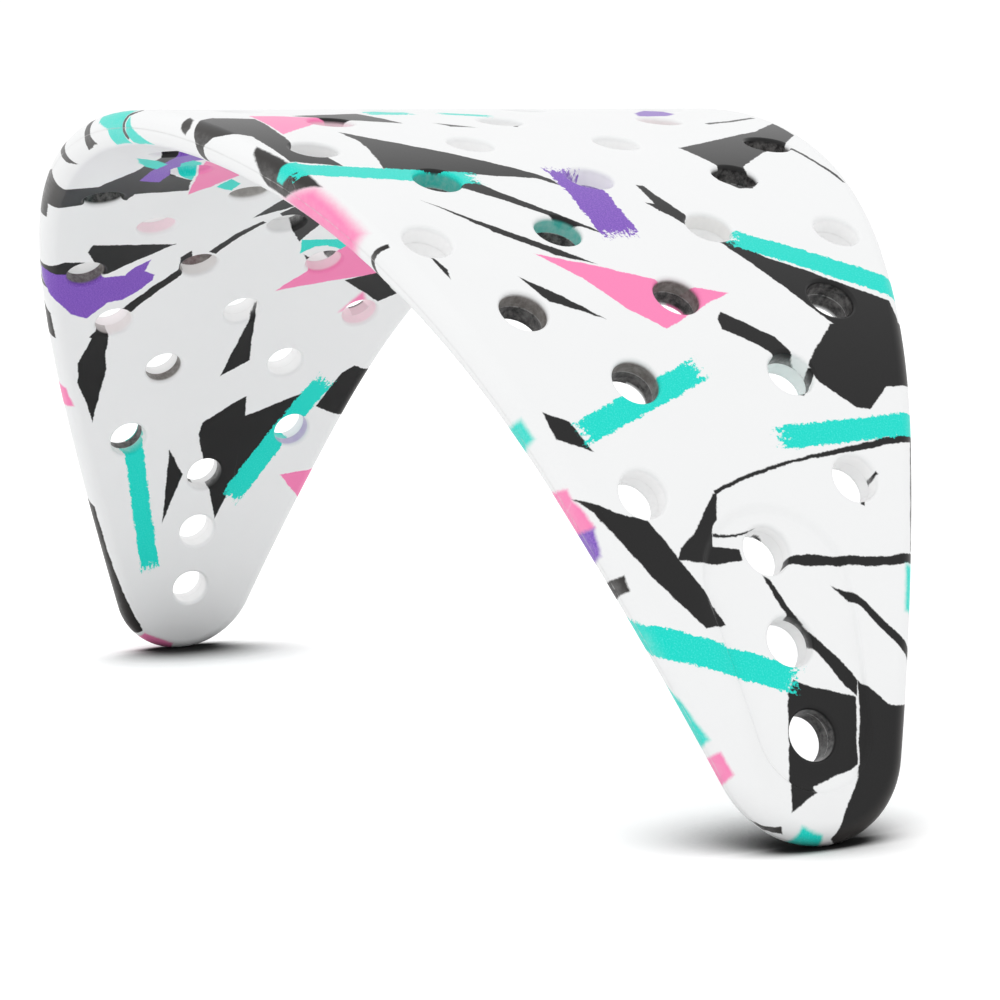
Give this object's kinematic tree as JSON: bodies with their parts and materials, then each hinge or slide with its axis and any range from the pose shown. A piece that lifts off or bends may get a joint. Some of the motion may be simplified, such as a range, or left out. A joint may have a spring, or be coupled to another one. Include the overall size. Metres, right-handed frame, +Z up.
{
  "type": "perforated arched guard plate",
  "caption": "Arched plastic plate with two tapering lobes, staggered vent holes, shallow tip recesses and a dry-brush printed film.",
  "frame": {"origin": "centre of the bounding box in X and Y, on the floor plane that both lobe tips touch", "axes": "+X from one lobe tip to the other, +Y along the ridge, +Z up through the ridge"},
  "size_m": [0.187, 0.0846, 0.0813],
  "materials": {
    "outer_film": "satin white plastic under a printed film with charcoal, turquoise, pink and purple dry-brush shapes",
    "inner_film": "satin white plastic under the same printed film"
  },
  "bodies": {
    "root": {"outer_shell": "outer_film", "inner_shell": "inner_film"}
  },
  "joints": []
}
